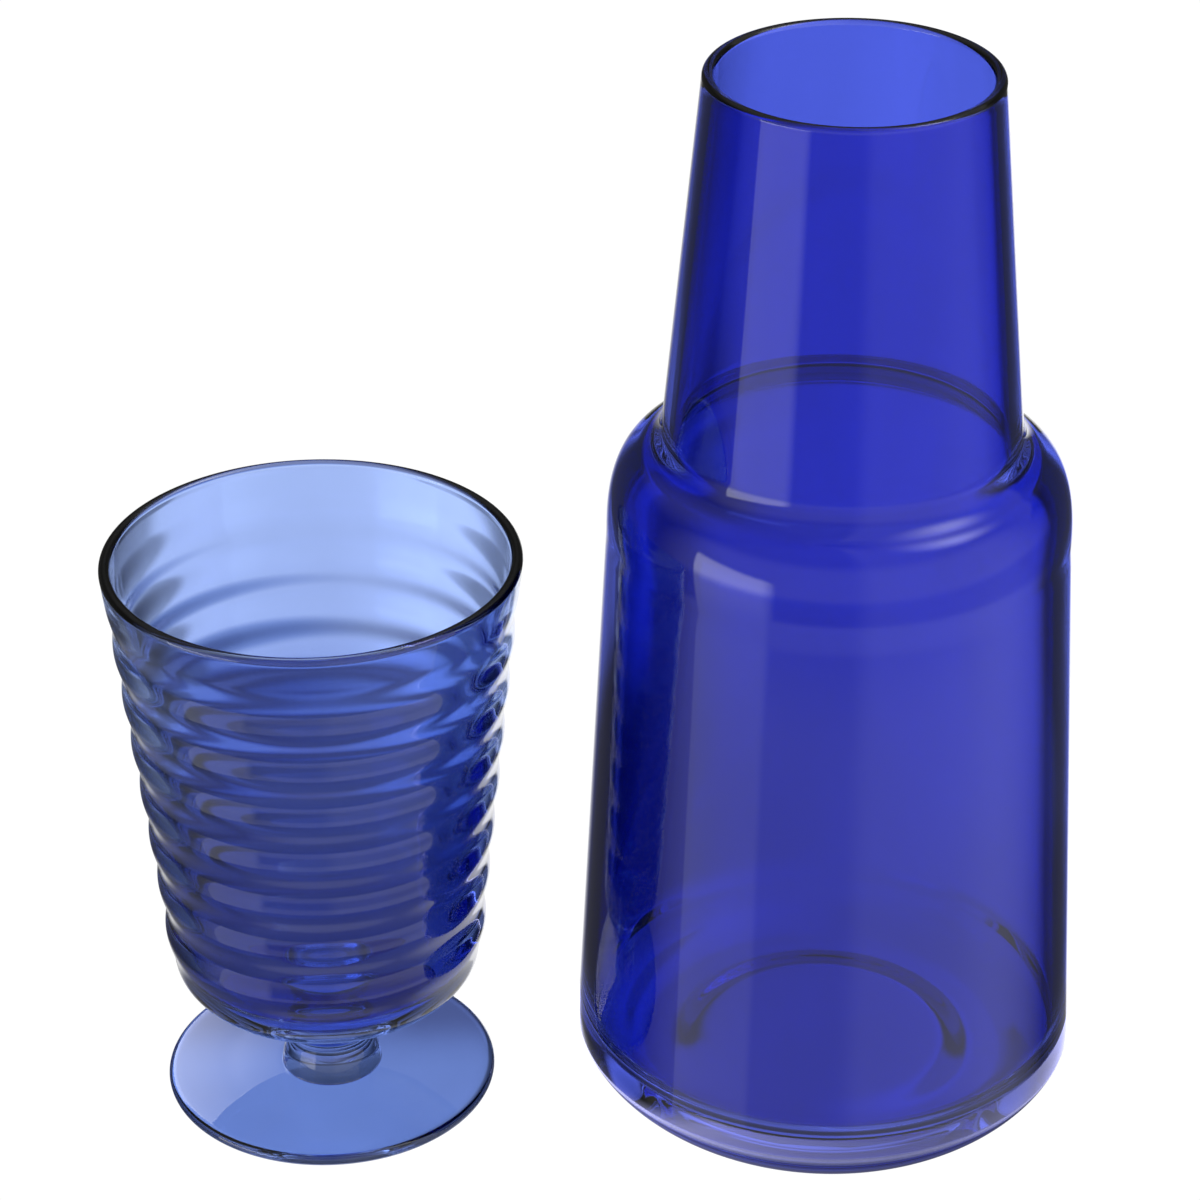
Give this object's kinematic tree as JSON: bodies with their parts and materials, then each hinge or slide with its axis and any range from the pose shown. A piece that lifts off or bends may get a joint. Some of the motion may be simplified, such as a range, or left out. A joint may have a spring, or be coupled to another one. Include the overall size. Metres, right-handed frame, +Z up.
{
  "type": "carafe with drinking goblet",
  "caption": "Blue glass carafe with a wide open tapered neck, rounded shoulder and thick base, and a loose ribbed drinking goblet on a short stem and round foot.",
  "frame": {"origin": "on the table plane, under the middle of the pair's bounding box", "axes": "+Z up along both vessels' axes of revolution, +X from the goblet towards the carafe, -Y towards the viewer of the picture"},
  "size_m": [0.2006, 0.105, 0.2282],
  "materials": {
    "cobalt_glass": "clear polished cobalt-violet glass",
    "blue_glass": "clear polished paler blue glass"
  },
  "bodies": {
    "carafe": {"carafe_vessel": "cobalt_glass"},
    "goblet": {"goblet_bowl": "blue_glass", "goblet_stem": "blue_glass", "goblet_foot": "blue_glass"}
  },
  "joints": [
    {"name": "goblet_lift", "type": "slide", "parent": "carafe", "child": "goblet", "axis": [0, 0, 1], "range_m": [0, 0.25]}
  ]
}
